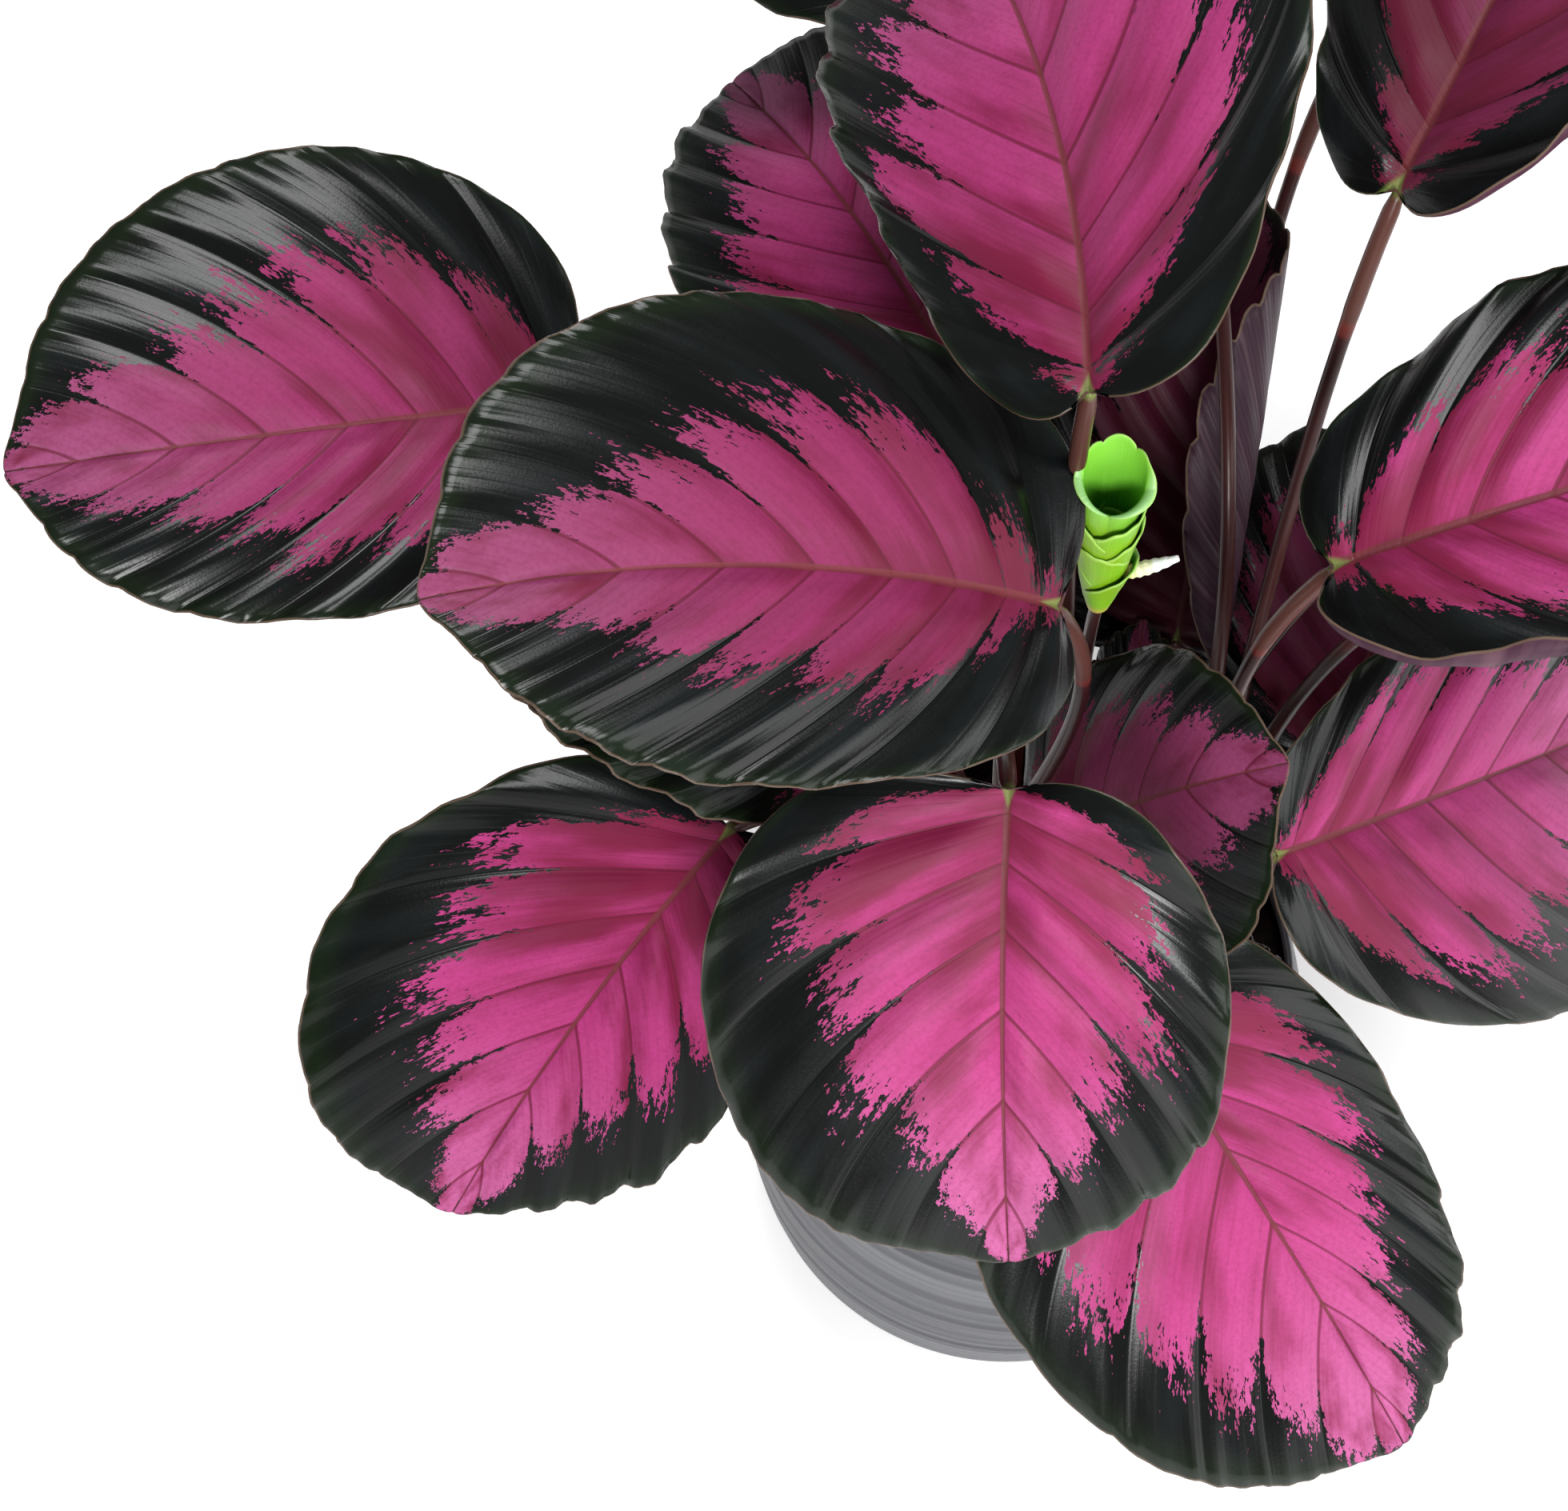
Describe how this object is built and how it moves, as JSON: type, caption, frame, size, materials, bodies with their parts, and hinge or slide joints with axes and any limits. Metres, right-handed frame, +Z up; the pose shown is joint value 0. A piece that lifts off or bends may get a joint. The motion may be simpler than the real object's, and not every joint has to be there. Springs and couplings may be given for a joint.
{
  "type": "potted calathea",
  "caption": "Potted prayer plant with round, dark-edged crimson leaves on long stalks, one green flower spike and a rounded grey pot filled with soil.",
  "frame": {"origin": "middle of the pot's underside, on the floor", "axes": "+Z up; +Y to the back of the plant, -Y to the front; +X to the right seen from the front"},
  "size_m": [0.5681, 0.4781, 0.4265],
  "materials": {
    "pot": "satin grey pot with soft turned rings",
    "soil": null,
    "blade": null,
    "stalk": null,
    "bract": null,
    "bud": null
  },
  "bodies": {
    "root": {"pot": "pot", "soil": "soil", "leaf_01_blade": "blade", "leaf_01_stalk": "stalk", "leaf_02_blade": "blade", "leaf_02_stalk": "stalk", "leaf_03_blade": "blade", "leaf_03_stalk": "stalk", "leaf_04_blade": "blade", "leaf_04_stalk": "stalk", "leaf_05_blade": "blade", "leaf_05_stalk": "stalk", "leaf_06_blade": "blade", "leaf_06_stalk": "stalk", "leaf_07_blade": "blade", "leaf_07_stalk": "stalk", "leaf_08_blade": "blade", "leaf_08_stalk": "stalk", "leaf_09_blade": "blade", "leaf_09_stalk": "stalk", "leaf_10_blade": "blade", "leaf_10_stalk": "stalk", "leaf_11_blade": "blade", "leaf_11_stalk": "stalk", "leaf_12_blade": "blade", "leaf_12_stalk": "stalk", "leaf_13_blade": "blade", "leaf_13_stalk": "stalk", "leaf_14_blade": "blade", "leaf_14_stalk": "stalk", "leaf_15_blade": "blade", "leaf_15_stalk": "stalk", "leaf_16_blade": "blade", "leaf_16_stalk": "stalk", "leaf_17_blade": "blade", "leaf_17_stalk": "stalk", "leaf_18_blade": "blade", "leaf_18_stalk": "stalk", "leaf_19_blade": "blade", "leaf_19_stalk": "stalk", "leaf_20_blade": "blade", "leaf_20_stalk": "stalk", "leaf_21_blade": "blade", "leaf_21_stalk": "stalk", "flower_stalk": "stalk", "flower_bracts": "bract", "flower_bud": "bud"}
  },
  "joints": []
}
